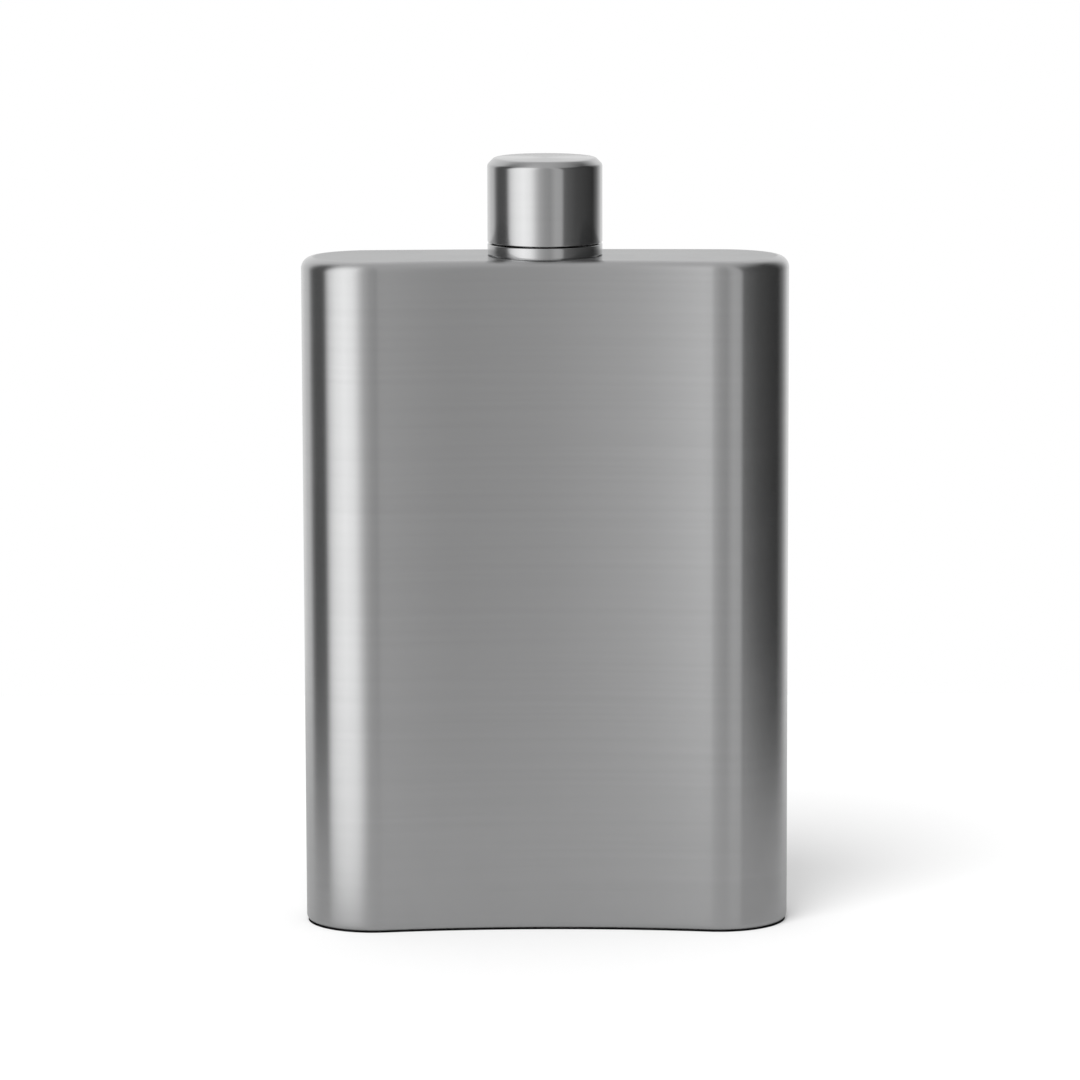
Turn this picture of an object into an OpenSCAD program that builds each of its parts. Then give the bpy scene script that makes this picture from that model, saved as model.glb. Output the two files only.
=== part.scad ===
// Hip flask: a curved vessel of welded sheet steel, with a screw cap on a turned neck.
// The back of the body bows out, and the front hollows in to sit against the hip.
// The origin is at the middle of the base, +Z is up, and the hollow front faces -Y.

/* [Body] */
// Width of the body
body_w = 95; // [85:1:105]
// Depth of the body at its ends
body_d = 28; // [26:0.5:32]
// Height of the body, up to the top plate
body_h = 131.7; // [110:0.1:150]
// How far the front hollows in at the middle
front_dip = 2.72; // [2:0.02:3.6]
// How far the back swells out between its corners
back_swell = 1; // [0.5:0.1:2]
// Radius of the two front corners
front_corner_r = 13.5; // [11.5:0.1:14]
// Radius of the rolled edge round the top
top_edge_r = 2.3; // [1.5:0.1:3]
// Radius of the rolled edge round the base
base_edge_r = 1.3; // [1:0.1:2.5]
// Depth of the pressed hollow under the base
base_dish = 1; // [0.5:0.1:2]
// Thickness of the sheet steel
wall = 0.8; // [0.5:0.1:0.9]

/* [Welds] */
// Length of an end plate's straight skirt, from its edge to its weld
plate_skirt = 1.2; // [0.8:0.1:3]
// Width of the welds between the sleeve and the end plates
weld_w = 0.5; // [0.3:0.1:1]
// Width of the lengthwise weld at the middle of the back
seam_w = 0.6; // [0.4:0.1:1]
// How far the weld beads stand proud inside the vessel
bead_h = 0.25; // [0.1:0.05:0.5]

/* [Neck] */
// Radius of the pouring bore
bore_r = 6.2; // [5:0.1:6.4]
// Height of the neck's rim above the top plate
neck_h = 13.4; // [12:0.1:16]
// Radius of the neck under its thread
neck_r = 7.4; // [7.2:0.1:7.5]
// Radius over the thread's crest
thread_crest_r = 8.3; // [8:0.1:8.4]
// Rise of the thread in one turn
pitch = 3; // [2.8:0.1:3.5]
// Turns of thread on the neck. The cap has half a turn less.
thread_turns = 2.5; // [1.5:0.25:2.5]
// Height of the collar that the cap closes on
collar_h = 2.3; // [1.5:0.1:3]

/* [Cap] */
// Outer radius of the cap and of the collar
cap_r = 11.2; // [11:0.1:12]
// Height of the cap
cap_h = 16.4; // [16:0.1:20]
// Width of the bevel round the cap's top
cap_bevel = 1.3; // [0.5:0.1:1.5]
// Gap between the closed cap and the collar
cap_gap = 0.3; // [0.2:0.05:0.5]
// Thickness of the steel of the cap
cap_wall = 0.7; // [0.5:0.05:0.8]
// Thickness of the seal disc
seal_t = 1.6; // [1:0.1:2]

/* [Hidden] */

corner_fn = 96;
sweep_fn = 720;
turned_fn = 96;
edge_fn = 48;

// The outline is six tangent arcs. All four corner centres lie on one line across the body.
half_w = body_w / 2;
half_d = body_d / 2;
corner_y = front_corner_r - half_d;
back_corner_r = body_d - front_corner_r - back_swell;
front_corner = [half_w - front_corner_r, corner_y];
back_corner = [half_w - back_corner_r, corner_y];
// Distance from a sweep's centre to a corner's, for corners x away that the sweep rises s between
function sweep_reach(x, s) = (x * x + s * s) / (2 * s);
front_sweep_r = sweep_reach(front_corner.x, front_dip) - front_corner_r;
back_sweep_r = sweep_reach(back_corner.x, back_swell) + back_corner_r;
front_centre = [0, front_dip - half_d - front_sweep_r];
back_centre = [0, half_d - back_sweep_r];

// An end plate's section reaches this far in, so that its six lengths meet in the middle
plate_reach = half_d + 5;
foot_w = 4;
far = 40;

// Heights of the joints up the body
sleeve_z = base_edge_r + plate_skirt + weld_w;
sleeve_top = body_h - top_edge_r - plate_skirt - weld_w;
plate_inside = body_h - wall;

// The neck stands midway between the front and the back
neck_y = front_dip / 2;
neck_top = body_h + neck_h;
neck_foot = body_h - 2;
rim_bevel = 0.3;
collar_top = body_h + collar_h;
collar_bevel = 0.2;
thread_z = collar_top + 1.6;
thread_steps = 36;
// How far a thread's root is sunk in its wall, and how much of its height is left at its ends
thread_root = 0.2;
thread_end = 0.3;

// The cap, as it sits when it is screwed home
cap_z = collar_top + cap_gap;
cap_top = cap_z + cap_h;
cap_inner_r = cap_r - cap_wall;
cap_inner_top = cap_top - cap_wall;
inner_bevel = cap_bevel - 0.4;
liner_z = cap_z + 0.5;
thread_gap = 0.3;
liner_bore_r = thread_crest_r + thread_gap;
liner_crest_r = neck_r + thread_gap;
lip_r = 8;
lip_gap = 0.3;
lip_h = 0.5;
seal_r = 8.7;
pocket_r = seal_r + 0.3;
seal_top = neck_top + seal_t;
roof_t = 1.3;
core_r = 7;
neck_weld_w = 0.9;

// Carries a section round the outline. The section's x runs inwards from the outline, and its y is height.
// Each arc's share is a wedge that reaches well past both sides of the outline.
module round_outline() {
    along_arc(front_centre, front_sweep_r, sweep_fn, true, [
        front_centre,
        front_centre + 1.1 * (front_corner - front_centre),
        front_centre + 1.1 * (flip(front_corner) - front_centre)
    ]) children();
    along_arc(back_centre, back_sweep_r, sweep_fn, false, [
        back_centre,
        back_centre + 1.1 * (back_corner - back_centre),
        back_centre + 1.1 * (flip(back_corner) - back_centre)
    ]) children();
    for (side = [0, 1])
        mirror([side, 0, 0]) {
            along_arc(front_corner, front_corner_r, corner_fn, false, [
                front_corner,
                front_corner + 0.2 * (front_centre - front_corner),
                [front_corner.x + far, corner_y + 0.2 * (front_centre.y - corner_y)],
                [front_corner.x + far, corner_y]
            ]) children();
            along_arc(back_corner, back_corner_r, corner_fn, false, [
                back_corner,
                [back_corner.x + far, corner_y],
                [back_corner.x + far, corner_y + 0.1 * (corner_y - back_centre.y)],
                back_corner + 0.1 * (back_corner - back_centre)
            ]) children();
        }
}

function flip(p) = [-p.x, p.y];

// One arc's length of the section: turned about the arc's centre, and cut to its share of the outline.
// A hollow arc has its centre outside the body.
module along_arc(centre, r, fn, hollow, share) {
    intersection() {
        translate([0, 0, -far])
            linear_extrude(height = body_h + 2 * far)
                polygon(share);
        translate([centre.x, centre.y, 0])
            rotate_extrude($fn = fn)
                intersection() {
                    translate([r, 0])
                        mirror([hollow ? 0 : 1, 0])
                            children();
                    translate([0, -far])
                        square([r + far, body_h + 2 * far]);
                }
    }
}

// Section of a plate's rolled edge, with its outside face on y = 0 and its skirt hanging down
module rolled_edge(edge_r) {
    translate([0, -edge_r - plate_skirt])
        square([wall, plate_skirt]);
    intersection() {
        translate([edge_r, -edge_r])
            difference() {
                circle(r = edge_r, $fn = edge_fn);
                circle(r = edge_r - wall, $fn = edge_fn);
            }
        translate([0, -edge_r])
            square(edge_r);
    }
}

// Section of a weld that joins the sleeve to an end plate, flush outside and proud inside
module weld_section() {
    polygon([
        [0, 0], [wall, 0], [wall + bead_h, weld_w / 4],
        [wall + bead_h, weld_w * 3 / 4], [wall, weld_w], [0, weld_w]
    ]);
}

// One of the neck's turned rings or tubes
module turned(r, hole_r, z, top, bevel) {
    translate([0, neck_y, 0])
        rotate_extrude($fn = turned_fn)
            polygon([
                [hole_r, z], [r, z], [r, top - bevel], [r - bevel, top], [hole_r, top]
            ]);
}

// The sheet that wraps round the vessel, open along the middle of the back for its seam
module body_sleeve() {
    color([0.62, 0.63, 0.64])
        difference() {
            round_outline()
                translate([0, sleeve_z])
                    square([wall, sleeve_top - sleeve_z]);
            translate([-seam_w / 2, 0, 0])
                cube([seam_w, body_d, body_h]);
        }
}

// The lengthwise weld that closes the sleeve, ground flush outside
module sleeve_seam_weld() {
    inside = half_d - wall;
    color([0.50, 0.50, 0.52])
        translate([0, 0, sleeve_z])
            linear_extrude(height = sleeve_top - sleeve_z)
                polygon([
                    [-seam_w / 2, half_d], [-seam_w / 2, inside], [-seam_w, inside],
                    [-seam_w / 2, inside - bead_h], [seam_w / 2, inside - bead_h],
                    [seam_w, inside], [seam_w / 2, inside], [seam_w / 2, half_d]
                ]);
}

// The pressed top, with a hole for the neck
module top_plate() {
    color([0.72, 0.73, 0.74])
        difference() {
            round_outline()
                translate([0, body_h]) {
                    rolled_edge(top_edge_r);
                    translate([top_edge_r, -wall])
                        square([plate_reach - top_edge_r, wall]);
                }
            translate([0, neck_y, plate_inside - far])
                cylinder(r = neck_r, h = 2 * far, $fn = turned_fn);
        }
}

module top_plate_weld() {
    color([0.50, 0.50, 0.52])
        round_outline()
            translate([0, sleeve_top])
                weld_section();
}

// The pressed base: it stands on a flat foot all round, and its middle is dished
module base_plate() {
    foot_in = base_edge_r + foot_w;
    color([0.55, 0.56, 0.58])
        round_outline() {
            mirror([0, 1])
                rolled_edge(base_edge_r);
            polygon([
                [base_edge_r, 0], [foot_in, 0], [foot_in + base_dish, base_dish],
                [plate_reach, base_dish], [plate_reach, base_dish + wall],
                [foot_in + base_dish, base_dish + wall], [foot_in, wall], [base_edge_r, wall]
            ]);
        }
}

module base_plate_weld() {
    color([0.50, 0.50, 0.52])
        round_outline()
            translate([0, sleeve_z - weld_w])
                weld_section();
}

// A ridge that climbs a helix about the Z axis, fading in and out over its ends.
// Its section narrows from the root radius to the crest radius.
module helix_ridge(root_r, crest_r, z, turns) {
    base_w = pitch / 2;
    tip_w = base_w / 2;
    fade = thread_steps / 5;
    last = thread_steps * turns;
    rise = pitch / thread_steps;
    function share(i) = min(1, i / fade, (last - i) / fade);
    function crest(i) = root_r + (crest_r - root_r) * (thread_end + (1 - thread_end) * share(i));
    function ring(i) = [
        [root_r, -base_w / 2], [crest(i), -tip_w / 2], [crest(i), tip_w / 2], [root_r, base_w / 2]
    ];
    points = [
        for (i = [0 : last])
            let (a = i * 360 / thread_steps)
                for (p = ring(i)) [p[0] * cos(a), p[0] * sin(a), z + i * rise + p[1]]
    ];
    inward = crest_r < root_r;
    walls = [
        for (i = [0 : last - 1], k = [0 : 3])
            let (a = 4 * i + k, b = 4 * i + (k + 1) % 4)
                for (f = [[a, a + 4, b], [b, a + 4, b + 4]])
                    inward ? f : [f[2], f[1], f[0]]
    ];
    ends = inward
        ? [[0, 1, 2, 3], [for (k = [3 : -1 : 0]) 4 * last + k]]
        : [[3, 2, 1, 0], [for (k = [0 : 3]) 4 * last + k]];
    polyhedron(points = points, faces = concat(walls, ends), convexity = 10);
}

// The turned spout, bored right through and threaded outside
module neck_spout() {
    color([0.66, 0.67, 0.69]) {
        turned(neck_r, bore_r, neck_foot, neck_top, rim_bevel);
        translate([0, neck_y, 0])
            helix_ridge(neck_r - thread_root, thread_crest_r, thread_z, thread_turns);
    }
}

// The fillet weld that holds the spout under the top plate
module neck_weld() {
    color([0.50, 0.50, 0.52])
        translate([0, neck_y, 0])
            rotate_extrude($fn = turned_fn)
                polygon([
                    [neck_r, plate_inside - neck_weld_w], [neck_r, plate_inside],
                    [neck_r + neck_weld_w, plate_inside]
                ]);
}

// The polished ring that the cap closes on. Its foot follows the plate's rolled edge.
module neck_collar() {
    color([0.70, 0.71, 0.73])
        difference() {
            turned(cap_r, neck_r, body_h - top_edge_r / 4, collar_top, collar_bevel);
            round_outline()
                translate([0, body_h]) {
                    translate([top_edge_r, -top_edge_r])
                        circle(r = top_edge_r, $fn = edge_fn);
                    translate([top_edge_r, -top_edge_r])
                        square([plate_reach - top_edge_r, top_edge_r]);
                }
        }
}

// The soft disc that the neck's rim bites on. It turns freely in the liner's pocket.
module seal_disc() {
    color([0.16, 0.16, 0.17])
        translate([0, neck_y, neck_top])
            cylinder(r = seal_r, h = seal_t, $fn = turned_fn);
}

// The cap's outer cup, drawn from sheet
module cap_shell() {
    color([0.74, 0.75, 0.77])
        translate([0, neck_y, 0])
            rotate_extrude($fn = turned_fn)
                polygon([
                    [cap_inner_r, cap_z], [cap_r, cap_z], [cap_r, cap_top - cap_bevel],
                    [cap_r - cap_bevel, cap_top], [0, cap_top], [0, cap_inner_top],
                    [cap_inner_r - inner_bevel, cap_inner_top],
                    [cap_inner_r, cap_inner_top - inner_bevel]
                ]);
}

// The moulded liner pressed into the shell, with the cap's thread and the pocket for the seal
module cap_liner() {
    color([0.12, 0.12, 0.13])
        translate([0, neck_y, 0]) {
            rotate_extrude($fn = turned_fn)
                polygon([
                    [liner_bore_r, liner_z], [cap_inner_r, liner_z],
                    [cap_inner_r, cap_inner_top - inner_bevel],
                    [cap_inner_r - inner_bevel, cap_inner_top],
                    [core_r, cap_inner_top], [core_r, seal_top + roof_t],
                    [0, seal_top + roof_t], [0, seal_top], [pocket_r, seal_top],
                    [pocket_r, neck_top - lip_gap], [lip_r, neck_top - lip_gap],
                    [lip_r, neck_top - lip_gap - lip_h],
                    [liner_bore_r, neck_top - lip_gap - lip_h - (liner_bore_r - lip_r)]
                ]);
            translate([0, 0, pitch / 2])
                helix_ridge(liner_bore_r + thread_root, liner_crest_r, thread_z, thread_turns - 0.5);
        }
}

body_sleeve();
sleeve_seam_weld();
top_plate();
top_plate_weld();
base_plate();
base_plate_weld();
neck_spout();
neck_weld();
neck_collar();
seal_disc();
cap_shell();
cap_liner();
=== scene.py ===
"""The looks of a steel hip flask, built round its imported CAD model."""

import math

import bmesh
import bpy
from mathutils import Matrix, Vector


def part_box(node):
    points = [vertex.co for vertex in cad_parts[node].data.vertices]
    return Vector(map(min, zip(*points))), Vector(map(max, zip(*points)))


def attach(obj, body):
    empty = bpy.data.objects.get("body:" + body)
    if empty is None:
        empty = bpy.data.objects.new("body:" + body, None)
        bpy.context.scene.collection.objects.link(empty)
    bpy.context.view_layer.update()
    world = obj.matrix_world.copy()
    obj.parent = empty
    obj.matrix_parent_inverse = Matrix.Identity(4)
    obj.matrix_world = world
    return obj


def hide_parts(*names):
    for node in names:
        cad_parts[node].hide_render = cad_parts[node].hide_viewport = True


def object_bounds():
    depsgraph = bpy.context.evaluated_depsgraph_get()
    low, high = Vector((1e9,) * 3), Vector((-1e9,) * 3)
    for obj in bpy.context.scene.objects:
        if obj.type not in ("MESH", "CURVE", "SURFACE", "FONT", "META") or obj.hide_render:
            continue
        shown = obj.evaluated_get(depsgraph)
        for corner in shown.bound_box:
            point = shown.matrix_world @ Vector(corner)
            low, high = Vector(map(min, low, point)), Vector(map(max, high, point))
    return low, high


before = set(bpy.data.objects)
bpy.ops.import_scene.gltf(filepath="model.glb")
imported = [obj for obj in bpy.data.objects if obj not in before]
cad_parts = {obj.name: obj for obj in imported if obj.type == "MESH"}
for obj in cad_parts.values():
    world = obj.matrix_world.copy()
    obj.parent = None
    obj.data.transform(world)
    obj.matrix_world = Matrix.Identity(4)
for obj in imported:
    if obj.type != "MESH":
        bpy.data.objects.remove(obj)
CAD_LOW, CAD_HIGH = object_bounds()

MM = 0.001
NEAR = 0.001 * MM

# ---------------------------------------------------------------- sizes

# Where each piece lies is read from its CAD node. The other sizes repeat the design's own values.
SLEEVE_LOW, SLEEVE_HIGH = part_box("body_sleeve")
TOP_LOW, TOP_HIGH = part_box("top_plate")
BASE_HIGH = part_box("base_plate")[1]
SEAM_LOW, SEAM_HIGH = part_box("sleeve_seam_weld")
COLLAR_LOW, COLLAR_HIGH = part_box("neck_collar")
SPOUT_LOW, SPOUT_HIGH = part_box("neck_spout")
CAP_LOW, CAP_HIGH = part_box("cap_shell")
LINER_LOW, LINER_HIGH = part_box("cap_liner")
SEAL_LOW, SEAL_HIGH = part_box("seal_disc")

SHEET = 0.8 * MM
BODY_TOP = TOP_HIGH.z
HALF_W = CAD_HIGH.x
BACK_Y = CAD_HIGH.y
FRONT_Y = CAD_LOW.y

# The outline is tangent arcs: a corner of one radius at each end, a swelling back and a hollow front
CORNER_R = 13.5 * MM
FRONT_DIP = 2.72 * MM
BACK_SWELL = 1.0 * MM
CORNER = Vector((HALF_W - CORNER_R, FRONT_Y + CORNER_R, 0))


def sweep_radius(rise):
    """Radius of an arc that joins the two corners' centres and rises this far between them."""
    return (CORNER.x**2 + rise**2) / (2 * rise)


BACK_R = sweep_radius(BACK_SWELL) + CORNER_R
FRONT_R = sweep_radius(FRONT_DIP) - CORNER_R
BACK_CENTRE = Vector((0, BACK_Y - BACK_R, 0))
FRONT_CENTRE = Vector((0, FRONT_Y + FRONT_DIP - FRONT_R, 0))
BACK_HALF = math.atan2(CORNER.x, CORNER.y - BACK_CENTRE.y)
FRONT_HALF = math.atan2(CORNER.x, CORNER.y - FRONT_CENTRE.y)

# The neck, the collar and the cap are all turned about one axis
AXIS = Vector((0, (CAP_LOW.y + CAP_HIGH.y) / 2, 0))
CAP_R = CAP_HIGH.x
CAP_WALL = 0.7 * MM
CAP_BEVEL = 1.3 * MM
NECK_R = 7.4 * MM
BORE_R = 6.2 * MM
THREAD_R = SPOUT_HIGH.x
PITCH = 3.0 * MM
THREAD_Z = COLLAR_HIGH.z + 1.6 * MM
THREAD_TURNS = 2.5
TOP_EDGE_R = 2.3 * MM
BASE_EDGE_R = 1.3 * MM
FOOT_W = 4.0 * MM
BASE_DISH = 1.0 * MM
WELD_PROUD = 0.25 * MM
INNER_BEVEL = CAP_BEVEL - 0.4 * MM
THREAD_GAP = 0.3 * MM
THREAD_ROOT = 0.2 * MM
LIP_R = 8.0 * MM
LIP_H = 0.5 * MM
LIP_GAP = 0.3 * MM
POCKET_GAP = 0.3 * MM
CORE_R = 7.0 * MM
ROOF_T = 1.3 * MM

# These small shapes are only in the looks, and not in the design
GROOVE_DEPTH = 0.75 * MM
GROOVE_H = 0.3 * MM
SEAL_BITE = 0.06 * MM
DISH_SOFT = 0.6 * MM
CREST_SOFT = 0.15 * MM

# How finely the shapes are stepped, and the angle past which an edge stays sharp
CORNER_STEPS = 96
SWEEP_STEPS = 24
TURN_STEPS = 160
THREAD_STEPS = 64
RUN_OUT_STEPS = 6
RUN_OUT_STEP = math.radians(7)
ROLL_STEPS = 12
SOFT_STEPS = 4
FLAT_MARGIN = 0.4 * MM
SHARP = math.radians(35)


# ---------------------------------------------------------------- drawing and sweeping sections


def pick(*pieces):
    """In object mode, selects only these pieces and makes the first one active."""
    if bpy.context.mode == "EDIT_MESH":
        bpy.ops.object.mode_set(mode="OBJECT")
    bpy.ops.object.select_all(action="DESELECT")
    for piece in pieces:
        piece.select_set(True)
    if pieces:
        bpy.context.view_layer.objects.active = pieces[0]


def choose(piece, kind, wanted):
    """In edit mode, selects only the vertices, edges or faces whose middle passes the test."""
    bpy.ops.mesh.select_mode(type=kind)
    bpy.ops.mesh.select_all(action="DESELECT")
    mesh = bmesh.from_edit_mesh(piece.data)
    if kind == "VERT":
        for v in mesh.verts:
            v.select = wanted(v.co)
    elif kind == "EDGE":
        for e in mesh.edges:
            e.select = wanted((e.verts[0].co + e.verts[1].co) / 2)
    else:
        for f in mesh.faces:
            f.select = wanted(f.calc_center_median())
    mesh.select_flush_mode()
    bmesh.update_edit_mesh(piece.data)


def draw_section(name, points, closed=False):
    """Starts a piece as a chain of edges. A point is (place, softening), and softening is how far along its
    edges the corner is rounded."""
    pick()
    bpy.ops.mesh.primitive_plane_add(size=SHEET, location=points[0][0])
    bpy.ops.object.transform_apply(location=True, rotation=True, scale=True)
    piece = bpy.context.object
    piece.name = name
    bpy.ops.object.mode_set(mode="EDIT")
    bpy.ops.mesh.select_mode(type="VERT")
    bpy.ops.mesh.select_all(action="SELECT")
    bpy.ops.mesh.merge(type="CENTER")
    for (start, _), (end, _) in zip(points, points[1:]):
        bpy.ops.mesh.extrude_region_move(TRANSFORM_OT_translate={"value": end - start})
    if closed:
        ends = (points[0][0], points[-1][0])
        choose(piece, "VERT", lambda co: min((co - p).length for p in ends) < NEAR)
        bpy.ops.mesh.edge_face_add()
    for place, soft in points:
        if soft:
            choose(piece, "VERT", lambda co: (co - place).length < NEAR)
            steps = ROLL_STEPS if soft > MM else SOFT_STEPS
            bpy.ops.mesh.bevel(affect="VERTICES", offset=soft, segments=steps, profile=0.5)
    bpy.ops.mesh.select_all(action="SELECT")
    return piece


def close_up():
    """In edit mode, merges doubled vertices and turns every face outwards."""
    bpy.ops.mesh.select_all(action="SELECT")
    bpy.ops.mesh.remove_doubles(threshold=NEAR / 2)
    bpy.ops.mesh.normals_make_consistent(inside=False)


def swing(angle, centre, steps):
    """Sweeps what is selected about an upright axis. The angle is anticlockwise seen from above."""
    bpy.ops.mesh.spin(steps=steps, angle=-angle, center=centre, axis=(0, 0, 1))


def apply(piece, kind, **values):
    """Adds a modifier and applies it at once."""
    pick(piece)
    modifier = piece.modifiers.new(kind.title(), kind)
    for name, value in values.items():
        setattr(modifier, name, value)
    bpy.ops.object.modifier_apply(modifier=modifier.name)


def round_outline(name, section, closed=False, from_seam=0.0):
    """Sweeps a section of (inset, height, softening) round half the flask's outline, from the middle of the
    back to the middle of the front, and mirrors it."""
    lean = from_seam / BACK_R
    outwards = Vector((math.sin(lean), math.cos(lean), 0))
    wall = BACK_CENTRE + BACK_R * outwards
    piece = draw_section(
        name, [(wall - inset * outwards + Vector((0, 0, z)), soft) for inset, z, soft in section], closed
    )
    for centre, angle, steps in (
        (BACK_CENTRE, lean - BACK_HALF, SWEEP_STEPS // 2),
        (CORNER, BACK_HALF - FRONT_HALF - math.pi, CORNER_STEPS),
        (FRONT_CENTRE, FRONT_HALF, SWEEP_STEPS),
    ):
        swing(angle, centre, steps)
    apply(piece, "MIRROR", merge_threshold=NEAR)
    bpy.ops.object.mode_set(mode="EDIT")
    close_up()
    return piece


def turn(name, section, closed=True):
    """Turns a section of (radius, height, softening) once round the neck's axis."""
    piece = draw_section(name, [(AXIS + Vector((r, 0, z)), soft) for r, z, soft in section], closed)
    swing(2 * math.pi, AXIS, TURN_STEPS)
    close_up()
    return piece


def finish(piece, body, node, material):
    """Shades a piece and hands it over to its CAD body."""
    pick(piece)
    bpy.ops.object.shade_smooth_by_angle(angle=SHARP)
    piece.data.materials.clear()
    piece.data.materials.append(material)
    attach(piece, body)
    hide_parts(node)


def thicken(piece):
    """Gives a surface the thickness of the sheet, inwards."""
    apply(piece, "SOLIDIFY", thickness=SHEET, offset=-1, use_even_offset=True)


def fill_flat(piece, height, hole_r=None):
    """Fills the flat of a pressed plate inside its innermost ring, and leaves a round hole in it."""
    if hole_r:
        bpy.ops.mesh.select_all(action="DESELECT")
        bpy.ops.mesh.primitive_circle_add(
            vertices=TURN_STEPS, radius=hole_r, location=AXIS + Vector((0, 0, height))
        )
    bpy.ops.mesh.select_mode(type="EDGE")
    bpy.ops.mesh.select_all(action="DESELECT")
    mesh = bmesh.from_edit_mesh(piece.data)
    for e in mesh.edges:
        e.select = len(e.link_faces) < 2 and all(abs(v.co.z - height) < NEAR for v in e.verts)
    bmesh.update_edit_mesh(piece.data)
    bpy.ops.mesh.fill(use_beauty=True)
    close_up()


# ---------------------------------------------------------------- the body


def make_sleeve(material):
    """The sheet wrapped round the vessel, open along the middle of the back for its seam."""
    piece = round_outline(
        "wrapped_sleeve",
        [(0, SLEEVE_LOW.z, 0), (0, SLEEVE_HIGH.z, 0)],
        from_seam=(SEAM_HIGH.x - SEAM_LOW.x) / 4,
    )
    thicken(piece)
    finish(piece, "flask", "body_sleeve", material)


def make_seam(material):
    """The lengthwise weld, flush outside and proud inside."""
    half, root = (SEAM_HIGH.x - SEAM_LOW.x) / 4, BACK_Y - SHEET
    places = [
        (-half, BACK_Y), (-half, root), (-2 * half, root), (-half, SEAM_LOW.y),
        (half, SEAM_LOW.y), (2 * half, root), (half, root), (half, BACK_Y),
    ]
    piece = draw_section(
        "back_seam", [(Vector((x, y, SEAM_LOW.z)), 0) for x, y in places], closed=True
    )
    bpy.ops.mesh.select_all(action="SELECT")
    bpy.ops.mesh.edge_face_add()
    bpy.ops.mesh.extrude_region_move(TRANSFORM_OT_translate={"value": (0, 0, SEAM_HIGH.z - SEAM_LOW.z)})
    close_up()
    finish(piece, "flask", "sleeve_seam_weld", material)


def make_top(material):
    """The pressed top: a skirt, a rolled edge and a flat with the neck's hole."""
    piece = round_outline(
        "pressed_top",
        [(0, TOP_LOW.z, 0), (0, BODY_TOP, TOP_EDGE_R), (TOP_EDGE_R + FLAT_MARGIN, BODY_TOP, 0)],
    )
    fill_flat(piece, BODY_TOP, NECK_R)
    thicken(piece)
    finish(piece, "flask", "top_plate", material)


def make_base(material):
    """The pressed base: a skirt, a rolled edge, a flat foot all round and a dished middle."""
    foot = BASE_EDGE_R + FOOT_W
    piece = round_outline(
        "pressed_base",
        [
            (0, BASE_HIGH.z, 0), (0, 0, BASE_EDGE_R), (foot, 0, DISH_SOFT),
            (foot + BASE_DISH, BASE_DISH, DISH_SOFT), (foot + 2 * BASE_DISH, BASE_DISH, 0),
        ],
    )
    fill_flat(piece, BASE_DISH)
    thicken(piece)
    finish(piece, "flask", "base_plate", material)


def make_ring_weld(name, node, material):
    """A weld between the sleeve and an end plate, flush outside and proud inside. It is brushed together with
    the body, so it wears the body's finish."""
    low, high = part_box(node)
    proud = SHEET + WELD_PROUD
    width = high.z - low.z
    piece = round_outline(
        name,
        [
            (0, low.z, 0), (SHEET, low.z, 0), (proud, low.z + width / 4, 0),
            (proud, high.z - width / 4, 0), (SHEET, high.z, 0), (0, high.z, 0),
        ],
        closed=True,
    )
    finish(piece, "flask", node, material)


# ---------------------------------------------------------------- the neck and the cap


def thread(name, root, crest, z, turns):
    """A ridge that climbs round the neck's axis and runs out into the wall at both ends."""
    half_root, half_tip = PITCH / 4, PITCH / 8
    places = [(root, -half_root), (crest, -half_tip), (crest, half_tip), (root, half_root)]
    piece = draw_section(
        name, [(Vector((r, 0, z + h)), CREST_SOFT if r == crest else 0) for r, h in places], closed=True
    )
    apply(
        piece, "SCREW", angle=2 * math.pi * turns, screw_offset=PITCH * turns,
        steps=round(THREAD_STEPS * turns), render_steps=round(THREAD_STEPS * turns), use_smooth_shade=True,
    )
    bpy.ops.object.mode_set(mode="EDIT")
    for way, end in ((-1, z), (1, z + PITCH * turns)):
        bpy.ops.mesh.select_mode(type="EDGE")
        bpy.ops.mesh.select_all(action="DESELECT")
        mesh = bmesh.from_edit_mesh(piece.data)
        for e in mesh.edges:
            e.select = len(e.link_faces) == 1 and all(abs(v.co.z - end) < PITCH / 3 for v in e.verts)
        bmesh.update_edit_mesh(piece.data)
        bpy.ops.mesh.edge_face_add()
        run_out(way, root, 2 * math.pi * turns * (way + 1) / 2, end)
    close_up()
    pick(piece)
    piece.location = AXIS
    bpy.ops.object.transform_apply(location=True, rotation=False, scale=False)
    return piece


def run_out(way, root, angle, height):
    """Carries a thread's end on along its helix while it sinks into the wall. It stops a little short of
    nothing, so that its last face keeps a size."""
    size = 1.0
    for i in range(1, RUN_OUT_STEPS + 1):
        swing(way * RUN_OUT_STEP, (0, 0, 0), 1)
        rise = way * PITCH * RUN_OUT_STEP / (2 * math.pi)
        bpy.ops.transform.translate(value=(0, 0, rise))
        angle += way * RUN_OUT_STEP
        height += rise
        shrink = (1 - i / (RUN_OUT_STEPS + 0.3)) / size
        size *= shrink
        foot = Vector((root * math.cos(angle), root * math.sin(angle), height))
        bpy.ops.transform.resize(value=(shrink, shrink, shrink), center_override=foot)


def join(piece, other):
    """Makes two shells one piece."""
    pick(piece, other)
    bpy.ops.object.join()
    return piece


def make_spout(material):
    """The turned spout, bored through, with its thread outside."""
    piece = turn(
        "threaded_spout",
        [
            (BORE_R, SPOUT_LOW.z, 0.2 * MM), (NECK_R, SPOUT_LOW.z, 0.2 * MM),
            (NECK_R, SPOUT_HIGH.z, 0.35 * MM), (BORE_R, SPOUT_HIGH.z, 0.35 * MM),
        ],
    )
    ridge = thread("neck_ridge", NECK_R - THREAD_ROOT, THREAD_R, THREAD_Z, THREAD_TURNS)
    finish(join(piece, ridge), "flask", "neck_spout", material)


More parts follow.
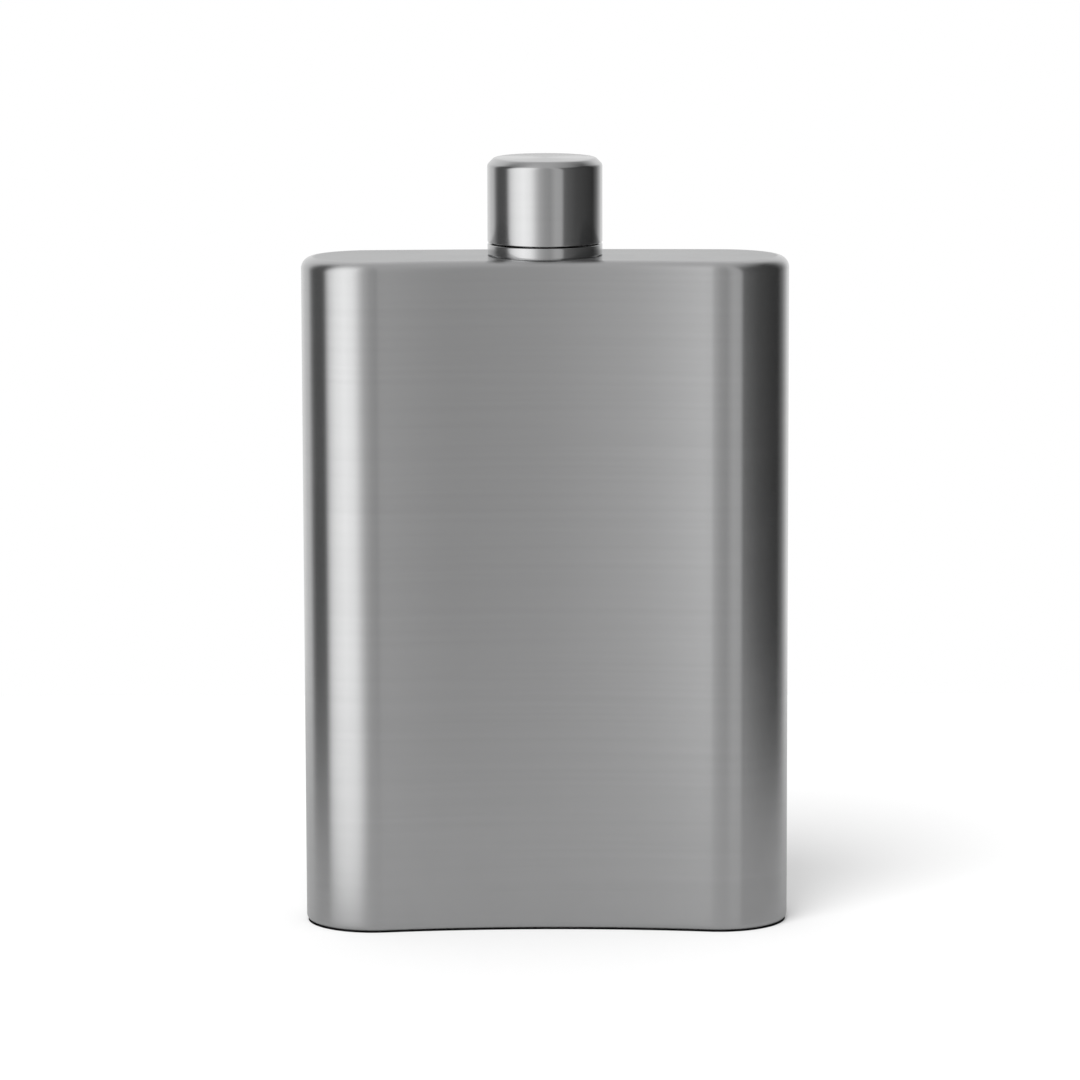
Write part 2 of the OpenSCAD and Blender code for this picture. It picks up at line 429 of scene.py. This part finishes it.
def make_collar(material):
    """The polished ring that the cap closes on. Its foot is sunk in the top plate's sheet, and a fine relief
    groove runs round it just above the sheet."""
    groove_r, groove_z = CAP_R - GROOVE_DEPTH, BODY_TOP + GROOVE_H
    piece = turn(
        "polished_collar",
        [
            (NECK_R, COLLAR_LOW.z, 0), (groove_r, COLLAR_LOW.z, 0), (groove_r, groove_z, 0.1 * MM),
            (CAP_R, groove_z, 0.05 * MM), (CAP_R, COLLAR_HIGH.z, 0.22 * MM), (NECK_R, COLLAR_HIGH.z, 0),
        ],
    )
    finish(piece, "flask", "neck_collar", material)


def make_cap(material):
    """The cap's steel cup: a straight wall, a bevel round the top and a flat top."""
    inner, roof = CAP_R - CAP_WALL, CAP_HIGH.z - CAP_WALL
    piece = turn(
        "steel_cap",
        [
            (0, CAP_HIGH.z, 0), (CAP_R - CAP_BEVEL, CAP_HIGH.z, 0.35 * MM),
            (CAP_R, CAP_HIGH.z - CAP_BEVEL, 0.35 * MM), (CAP_R, CAP_LOW.z, 0.18 * MM),
            (inner, CAP_LOW.z, 0.12 * MM), (inner, roof - INNER_BEVEL, 0),
            (inner - INNER_BEVEL, roof, 0), (0, roof, 0),
        ],
        closed=False,
    )
    finish(piece, "cap", "cap_shell", material)


def make_liner(material):
    """The moulded liner, with the cap's thread and the pocket for the seal."""
    outer, bore, pocket = LINER_HIGH.x, THREAD_R + THREAD_GAP, SEAL_HIGH.x + POCKET_GAP
    lip_z = SPOUT_HIGH.z - LIP_GAP
    roof = SEAL_HIGH.z + ROOF_T
    piece = turn(
        "moulded_liner",
        [
            (0, SEAL_HIGH.z, 0), (pocket, SEAL_HIGH.z, 0.15 * MM), (pocket, lip_z, 0.1 * MM),
            (LIP_R, lip_z, 0.12 * MM), (LIP_R, lip_z - LIP_H, 0.12 * MM),
            (bore, lip_z - LIP_H - (bore - LIP_R), 0.2 * MM), (bore, LINER_LOW.z, 0.3 * MM),
            (outer, LINER_LOW.z, 0.15 * MM), (outer, LINER_HIGH.z - INNER_BEVEL, 0),
            (outer - INNER_BEVEL, LINER_HIGH.z, 0), (CORE_R, LINER_HIGH.z, 0), (CORE_R, roof, 0), (0, roof, 0),
        ],
        closed=False,
    )
    ridge = thread(
        "liner_ridge", bore + THREAD_ROOT, NECK_R + THREAD_GAP, THREAD_Z + PITCH / 2, THREAD_TURNS - 0.5
    )
    finish(join(piece, ridge), "cap", "cap_liner", material)


def make_seal(material):
    """The soft disc, with the ring that the neck's rim has pressed into it."""
    r, low, high = SEAL_HIGH.x, SEAL_LOW.z, SEAL_HIGH.z
    piece = turn(
        "soft_seal",
        [
            (0, low, 0), (BORE_R - 0.2 * MM, low, 0.2 * MM), (BORE_R + 0.1 * MM, low + SEAL_BITE, 0.1 * MM),
            (NECK_R - 0.1 * MM, low + SEAL_BITE, 0.1 * MM), (NECK_R + 0.2 * MM, low, 0.2 * MM),
            (r, low, 0.3 * MM), (r, high, 0.3 * MM), (0, high, 0),
        ],
        closed=False,
    )
    finish(piece, "seal", "seal_disc", material)


# ---------------------------------------------------------------- finishes


def add(tree, kind, options=None, inputs=None):
    """Adds a node. An input is linked if it is given a socket, and set if it is given a value."""
    node = tree.nodes.new(kind)
    for name, value in (options or {}).items():
        setattr(node, name, value)
    for name, value in (inputs or {}).items():
        if isinstance(value, bpy.types.NodeSocket):
            tree.links.new(value, node.inputs[name])
        else:
            node.inputs[name].default_value = value
    return node


def math_node(tree, operation, *values):
    """A Math node's result."""
    return add(tree, "ShaderNodeMath", {"operation": operation}, dict(enumerate(values))).outputs[0]


def remap(tree, value, low, high, to_low, to_high):
    """A value carried from one range to another, and held inside it."""
    return add(
        tree, "ShaderNodeMapRange", None,
        {"Value": value, "From Min": low, "From Max": high, "To Min": to_low, "To Max": to_high},
    ).outputs["Result"]


def new_group(name, inputs, outputs):
    """A shader node group with named value inputs and outputs. Returns the tree and its inputs' sockets."""
    tree = bpy.data.node_groups.new(name, "ShaderNodeTree")
    for label, value in inputs.items():
        tree.interface.new_socket(label, in_out="INPUT", socket_type="NodeSocketFloat").default_value = value
    for label in outputs:
        tree.interface.new_socket(label, in_out="OUTPUT", socket_type="NodeSocketFloat")
    return tree, tree.nodes.new("NodeGroupInput").outputs


def put_out(tree, **values):
    """Links a group's results to its outputs."""
    out = tree.nodes.new("NodeGroupOutput")
    for label, value in values.items():
        tree.links.new(value, out.inputs[label])


def noise(tree, vector, scale, detail, roughness=0.55):
    """Noise of a coordinate, from about 0.3 to 0.7."""
    return add(
        tree, "ShaderNodeTexNoise", None,
        {"Vector": vector, "Scale": scale, "Detail": detail, "Roughness": roughness},
    ).outputs[0]


def brushed_lines_group():
    """Lines that a belt leaves: level round the walls, and along the width on what faces up or down."""
    tree, inputs = new_group("Brushed lines", {"Across": 4500.0, "Along": 60.0}, ("Lines", "Streaks"))
    place = tree.nodes.new("ShaderNodeTexCoord")
    across, along = inputs["Across"], inputs["Along"]

    def stretched(x, y, z):
        scale = add(tree, "ShaderNodeCombineXYZ", None, {"X": x, "Y": y, "Z": z}).outputs[0]
        return add(
            tree, "ShaderNodeVectorMath", {"operation": "MULTIPLY"}, {0: place.outputs["Object"], 1: scale}
        ).outputs[0]

    facing = add(tree, "ShaderNodeSeparateXYZ", None, {0: place.outputs["Normal"]}).outputs["Z"]
    level = remap(tree, math_node(tree, "ABSOLUTE", facing), 0.75, 0.9, 0.0, 1.0)
    found = []
    for size, detail in ((1.0, 3.0), (0.18, 2.0)):
        wall = noise(tree, stretched(along, along, across), size, detail)
        flat = noise(tree, stretched(along, across, along), size, detail)
        found.append(
            add(tree, "ShaderNodeMix", {"data_type": "FLOAT"}, {"Factor": level, "A": wall, "B": flat}).outputs[0]
        )
    put_out(tree, Lines=found[0], Streaks=found[1])
    return tree


def turned_lines_group():
    """Fine circles that a lathe leaves, about the neck's axis, on walls and on flats."""
    tree, inputs = new_group("Turned lines", {"Across": 5000.0, "Along": 40.0}, ("Lines", "Streaks"))
    place = tree.nodes.new("ShaderNodeTexCoord").outputs["Object"]
    from_axis = add(tree, "ShaderNodeVectorMath", {"operation": "SUBTRACT"}, {0: place, 1: AXIS}).outputs[0]
    parts = add(tree, "ShaderNodeSeparateXYZ", None, {0: from_axis}).outputs
    flat = add(tree, "ShaderNodeCombineXYZ", None, {"X": parts["X"], "Y": parts["Y"], "Z": 0.0}).outputs[0]
    radius = add(tree, "ShaderNodeVectorMath", {"operation": "LENGTH"}, {0: flat}).outputs["Value"]
    found = []
    for share, detail in ((1.0, 3.0), (0.15, 2.0)):
        across = math_node(tree, "MULTIPLY", inputs["Across"], share)
        drift = add(
            tree, "ShaderNodeVectorMath", {"operation": "SCALE"}, {0: flat, "Scale": inputs["Along"]}
        ).outputs[0]
        circles = add(
            tree, "ShaderNodeCombineXYZ", None,
            {"X": math_node(tree, "MULTIPLY", radius, across), "Y": 0.0,
             "Z": math_node(tree, "MULTIPLY", parts["Z"], across)},
        ).outputs[0]
        both = add(tree, "ShaderNodeVectorMath", {"operation": "ADD"}, {0: circles, 1: drift}).outputs[0]
        found.append(noise(tree, both, 1.0, detail))
    put_out(tree, Lines=found[0], Streaks=found[1])
    return tree


def handling_group():
    """Faint cloudy smears from wiping and holding, and sparse hairline scratches."""
    tree, inputs = new_group("Handling", {"Smear size": 70.0, "Scratch size": 900.0}, ("Smears", "Scratches"))
    place = tree.nodes.new("ShaderNodeTexCoord").outputs["Object"]
    smears = remap(tree, noise(tree, place, inputs["Smear size"], 4.0, 0.6), 0.42, 0.68, 0.0, 1.0)
    slanted = add(
        tree, "ShaderNodeMapping", None, {"Vector": place, "Rotation": (0.5, 0.9, 0.4), "Scale": (0.02, 1.0, 1.0)}
    ).outputs[0]
    scratches = remap(tree, noise(tree, slanted, inputs["Scratch size"], 1.0), 0.69, 0.74, 0.0, 1.0)
    put_out(tree, Smears=smears, Scratches=scratches)
    return tree


LINES = {"brushed": brushed_lines_group(), "turned": turned_lines_group()}
HANDLING = handling_group()


def use_group(tree, group, **inputs):
    """Places a group in a material with its own values, and returns its outputs."""
    node = add(tree, "ShaderNodeGroup", {"node_tree": group})
    for label, value in inputs.items():
        node.inputs[label.replace("_", " ")].default_value = value
    return node.outputs


def tinted(tree, colour, value, spread):
    """A colour made a little darker or lighter as a value runs from 0.3 to 0.7."""
    low, high = ([c * k for c in colour] + [1.0] for k in (1 - spread, 1 + spread))
    factor = remap(tree, value, 0.3, 0.7, 0.0, 1.0)
    mix = add(tree, "ShaderNodeMix", {"data_type": "RGBA"}, {"Factor": factor})
    mix.inputs[6].default_value, mix.inputs[7].default_value = low, high
    return mix.outputs[2]


def new_material(name):
    """A material's node tree and its Principled shader."""
    material = bpy.data.materials.new(name)
    material.use_nodes = True
    return material, material.node_tree, material.node_tree.nodes["Principled BSDF"]


def wire(tree, shader, **values):
    """Links or sets the shader's inputs."""
    for label, value in values.items():
        socket = shader.inputs[label.replace("_", " ")]
        if isinstance(value, bpy.types.NodeSocket):
            tree.links.new(value, socket)
        else:
            socket.default_value = value


# How much the brushed lines and the smears change the roughness, and how deep a scratch is against a line
LINE_ROUGH = 0.05
SMEAR_ROUGH = 0.03
SCRATCH_DEPTH = 0.5
RIPPLE_SIZE = 1500.0
# The way that light spreads on brushed steel
BRUSH_SPREAD = {"X": 0.0, "Y": 0.02, "Z": 1.0}


def steel(name, colour, roughness, lines, across, relief, anisotropic, tone=0.012, ripple=0.0):
    """Stainless steel with directional lines, a little tone in them, and marks of handling.
    Light spreads across the lines: up and down on brushed walls, and from the axis outwards on turned flats."""
    material, tree, shader = new_material(name)
    grain = use_group(tree, LINES[lines], Across=across)
    marks = use_group(tree, HANDLING)
    rough = math_node(tree, "MULTIPLY_ADD", grain["Lines"], LINE_ROUGH, roughness - LINE_ROUGH / 2)
    rough = math_node(tree, "MULTIPLY_ADD", marks["Smears"], SMEAR_ROUGH, rough)
    height = math_node(tree, "MULTIPLY_ADD", marks["Scratches"], -SCRATCH_DEPTH, grain["Lines"])
    if ripple:
        place = tree.nodes.new("ShaderNodeTexCoord").outputs["Object"]
        height = math_node(tree, "MULTIPLY_ADD", noise(tree, place, RIPPLE_SIZE, 2.0), ripple, height)
    bump = add(tree, "ShaderNodeBump", None, {"Strength": 1.0, "Distance": relief, "Height": height})
    wire(
        tree, shader,
        Base_Color=tinted(tree, colour, grain["Streaks"], tone),
        Roughness=rough,
        Metallic=1.0,
        Anisotropic=anisotropic,
        Anisotropic_Rotation=0.0 if lines == "brushed" else 0.25,
        Normal=bump.outputs[0],
    )
    if lines == "brushed":
        spread = add(tree, "ShaderNodeCombineXYZ", None, BRUSH_SPREAD)
        tree.links.new(spread.outputs[0], shader.inputs["Tangent"])
    return material


def silicone(name):
    """Milky soft silicone with a fine matt skin."""
    material, tree, shader = new_material(name)
    place = tree.nodes.new("ShaderNodeTexCoord").outputs["Object"]
    skin = noise(tree, place, 2600.0, 3.0)
    cloud = noise(tree, place, 220.0, 2.0)
    bump = add(tree, "ShaderNodeBump", None, {"Strength": 0.5, "Distance": 0.01 * MM, "Height": skin})
    wire(
        tree, shader,
        Base_Color=tinted(tree, (0.78, 0.78, 0.76), cloud, 0.04),
        Roughness=remap(tree, skin, 0.3, 0.7, 0.45, 0.62),
        Subsurface_Weight=0.25,
        Subsurface_Scale=0.002,
        Normal=bump.outputs[0],
    )
    return material


def moulded_plastic(name):
    """Black polypropylene with the mould's fine spark-eroded skin and faint flow marks."""
    material, tree, shader = new_material(name)
    place = tree.nodes.new("ShaderNodeTexCoord").outputs["Object"]
    skin = noise(tree, place, 3500.0, 3.0)
    flow = use_group(tree, LINES["turned"], Across=700.0)
    bump = add(tree, "ShaderNodeBump", None, {"Strength": 0.6, "Distance": 0.02 * MM, "Height": skin})
    wire(
        tree, shader,
        Base_Color=tinted(tree, (0.045, 0.045, 0.048), flow["Lines"], 0.12),
        Roughness=remap(tree, skin, 0.3, 0.7, 0.4, 0.56),
        Normal=bump.outputs[0],
    )
    return material


STEEL = (0.57, 0.572, 0.575)
satin = steel("Satin steel", STEEL, 0.22, "brushed", 4500.0, 0.0004 * MM, 1.0, tone=0.016)
polished = steel("Polished steel", STEEL, 0.155, "turned", 6000.0, 0.0002 * MM, 0.8, tone=0.01)
lathed = steel("Turned steel", STEEL, 0.3, "turned", 2600.0, 0.004 * MM, 0.7)
ground = steel("Ground weld", (0.55, 0.55, 0.552), 0.30, "brushed", 4500.0, 0.0009 * MM, 0.9, ripple=0.6)
rubber = silicone("Milky silicone")
plastic = moulded_plastic("Black moulded plastic")

make_sleeve(satin)
make_seam(ground)
make_top(satin)
make_base(satin)
make_ring_weld("top_weld_band", "top_plate_weld", satin)
make_ring_weld("base_weld_band", "base_plate_weld", satin)
make_spout(lathed)
make_collar(polished)
make_cap(polished)
make_liner(plastic)
make_seal(rubber)
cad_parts["neck_weld"].data.materials.clear()
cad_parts["neck_weld"].data.materials.append(ground)


# ---------------------------------------------------------------- the studio

# Brightness of the studio by bearing, in degrees: 0 is in front of the flask, at -Y, and 90 is at +X
STUDIO = [
    (-180, 0.82), (-152, 0.88), (-134, 0.74), (-127, 0.69), (-121, 0.48), (-115, 0.24), (-109, 0.13),
    (-102, 0.11), (-90, 0.12), (-84, 0.17), (-80, 0.42), (-75, 0.82), (-70, 1.06), (-60, 1.28),
    (-44, 1.43), (-30, 1.29), (-23, 1.06), (-17, 0.79), (-10, 0.58), (0, 0.455), (10, 0.41),
    (15, 0.47), (22, 0.56), (33, 0.54), (36, 0.42), (39, 0.19), (46, 0.15), (66, 0.095),
    (112, 0.045), (126, 0.20), (152, 0.86), (180, 0.82),
]
# Brightness straight overhead, the Z of a direction at which it begins to take over, and the even light on
# all that isn't a reflection
OVERHEAD = 0.56
OVERHEAD_FROM = 0.72
AMBIENT = 0.70
# The dark card under the flask, painted shade for the contact shadow: its thickness, and how far inside the
# outline it stays
PAD = 0.03 * MM
PAD_INSET = 0.3 * MM
# The table's corners, how pale it is in the steel's reflections (painted shade), and how pale and where a painted
# pool of light lies on it in the reflections, below the big softbox on the front left
TABLE_LOW = Vector((-0.17, -0.15, -PAD))
TABLE_HIGH = Vector((0.17, 0.24, -PAD))
TABLE_REFLECTED_SHADE = 0.46
TABLE_PAINTED_LIGHT = 0.95
PAINTED_LIGHT_X = (-0.9 * HALF_W, -1.4 * HALF_W)
PAINTED_LIGHT_Y = (1.5 * FRONT_Y, 3.2 * FRONT_Y)
# The key light: its height over the horizon, its bearing, how wide it is and how strong
KEY_HEIGHT = math.radians(57)
KEY_BEARING = math.radians(-22)
KEY_SPREAD = math.radians(34)
KEY_STRENGTH = 1.9
# The camera: what it looks at, how far it looks down and leans, how far away it is, and its lens in mm
CAMERA_TARGET = Vector((0, 0, 0.075))
CAMERA_PITCH = math.radians(8.95)
CAMERA_ROLL = math.radians(0.157)
CAMERA_DISTANCE = 1.080
CAMERA_LENS = 183.46
CAMERA_SHIFT = (-0.0032, 0.0029)


def make_world():
    """Strips of light and dark all round, a soft light overhead, and white behind everything."""
    world = bpy.data.worlds.new("Studio")
    bpy.context.scene.world = world
    world.use_nodes = True
    tree = world.node_tree
    tree.nodes.clear()
    towards = tree.nodes.new("ShaderNodeTexCoord").outputs["Generated"]
    parts = add(tree, "ShaderNodeSeparateXYZ", None, {0: towards}).outputs
    bearing = math_node(tree, "ARCTAN2", parts["X"], math_node(tree, "MULTIPLY", parts["Y"], -1.0))
    ramp = add(tree, "ShaderNodeValToRGB", None, {"Fac": remap(tree, bearing, -math.pi, math.pi, 0.0, 1.0)})
    stops = ramp.color_ramp.elements
    while len(stops) < len(STUDIO):
        stops.new(0.5)
    for stop, (degrees, light) in zip(stops, STUDIO):
        stop.position = (degrees + 180) / 360
        stop.color = (light, light, light, 1.0)
    high = add(
        tree, "ShaderNodeMix", {"data_type": "RGBA"},
        {"Factor": remap(tree, parts["Z"], OVERHEAD_FROM, 1.0, 0.0, 1.0),
         6: ramp.outputs[0], 7: (OVERHEAD,) * 3 + (1.0,)},
    )
    path = tree.nodes.new("ShaderNodeLightPath").outputs
    soft = add(
        tree, "ShaderNodeMix", {"data_type": "RGBA"},
        {"Factor": path["Is Diffuse Ray"], 6: high.outputs[2], 7: (AMBIENT,) * 3 + (1.0,)},
    )
    seen = add(
        tree, "ShaderNodeMix", {"data_type": "RGBA"},
        {"Factor": path["Is Camera Ray"], 6: soft.outputs[2], 7: (1.0,) * 4},
    )
    light = add(tree, "ShaderNodeBackground", None, {"Color": seen.outputs[2]})
    add(tree, "ShaderNodeOutputWorld", None, {"Surface": light.outputs[0]})


def make_floor():
    """A white table, painted darker in the steel's reflections with a painted pool of light, and the key light
    that throws the flask's soft shadow.
    """
    middle, span = (TABLE_LOW + TABLE_HIGH) / 2, TABLE_HIGH - TABLE_LOW
    pick()
    bpy.ops.mesh.primitive_plane_add(size=1, location=middle)
    table = bpy.context.object
    table.name = "table"
    bpy.ops.object.mode_set(mode="EDIT")
    bpy.ops.transform.resize(value=(span.x, span.y, 1), center_override=middle)
    bpy.ops.object.mode_set(mode="OBJECT")
    bpy.ops.object.transform_apply(location=True, rotation=True, scale=True)
    material, tree, shader = new_material("White table")
    place = tree.nodes.new("ShaderNodeTexCoord").outputs["Object"]
    shown = tinted(tree, (0.9, 0.9, 0.9), noise(tree, place, 3.0, 2.0), 0.005)
    path = tree.nodes.new("ShaderNodeLightPath").outputs
    parts = add(tree, "ShaderNodeSeparateXYZ", None, {0: place}).outputs
    leftwards = remap(tree, parts["X"], *PAINTED_LIGHT_X, 0.0, 1.0)
    forwards = remap(tree, parts["Y"], *PAINTED_LIGHT_Y, 0.0, 1.0)
    # Seen in the steel's reflections the table is painted darker, with a painted pool of light below the big
    # softbox on the front left.
    painted_reflection = add(
        tree, "ShaderNodeMix", {"data_type": "RGBA"},
        {"Factor": math_node(tree, "MULTIPLY", leftwards, forwards),
         6: (TABLE_REFLECTED_SHADE,) * 3 + (1.0,), 7: (TABLE_PAINTED_LIGHT,) * 3 + (1.0,)},
    )
    white = add(
        tree, "ShaderNodeMix", {"data_type": "RGBA"},
        {"Factor": path["Is Glossy Ray"], 6: shown, 7: painted_reflection.outputs[2]},
    )
    wire(
        tree, shader,
        Base_Color=white.outputs[2],
        Roughness=0.9,
        Specular_IOR_Level=0.0,
    )
    table.data.materials.append(material)

    bpy.ops.object.light_add(type="SUN", rotation=(math.pi / 2 - KEY_HEIGHT, 0, KEY_BEARING))
    key = bpy.context.object
    key.name = "key_light"
    key.data.energy = KEY_STRENGTH
    key.data.angle = KEY_SPREAD
    key.visible_glossy = False


def make_contact_shadow_card():
    """A thin dark card of the stage, under the flask and just inside its outline. It is painted shade: it deepens
    the contact shadow where the flask meets the table, and isn't part of the flask."""
    top = -0.2 * PAD
    pad = round_outline("contact_shadow_card", [(PAD_INSET, -PAD, 0), (PAD_INSET, top, 0), (2 * PAD_INSET, top, 0)])
    fill_flat(pad, top)
    pick(pad)
    material, tree, shader = new_material("Painted contact shadow")
    place = tree.nodes.new("ShaderNodeTexCoord").outputs["Object"]
    # The card's near-black colour is painted shade, standing in for the contact shadow under the flask.
    wire(
        tree, shader,
        Base_Color=tinted(tree, (0.012, 0.012, 0.012), noise(tree, place, 900.0, 2.0), 0.1),
        Roughness=0.95,
        Specular_IOR_Level=0.0,
    )
    pad.data.materials.append(material)


def make_camera():
    """The camera stands in front, a little above the flask."""
    back = Vector((0, -math.cos(CAMERA_PITCH), math.sin(CAMERA_PITCH)))
    bpy.ops.object.camera_add(
        location=CAMERA_TARGET + back * CAMERA_DISTANCE, rotation=(math.pi / 2 - CAMERA_PITCH, CAMERA_ROLL, 0)
    )
    camera = bpy.context.object
    camera.name = "camera"
    camera.data.lens = CAMERA_LENS
    camera.data.sensor_width = 36
    camera.data.shift_x, camera.data.shift_y = CAMERA_SHIFT
    bpy.context.scene.camera = camera


make_world()
make_floor()
make_contact_shadow_card()
make_camera()
bpy.context.scene.view_settings.view_transform = "Standard"
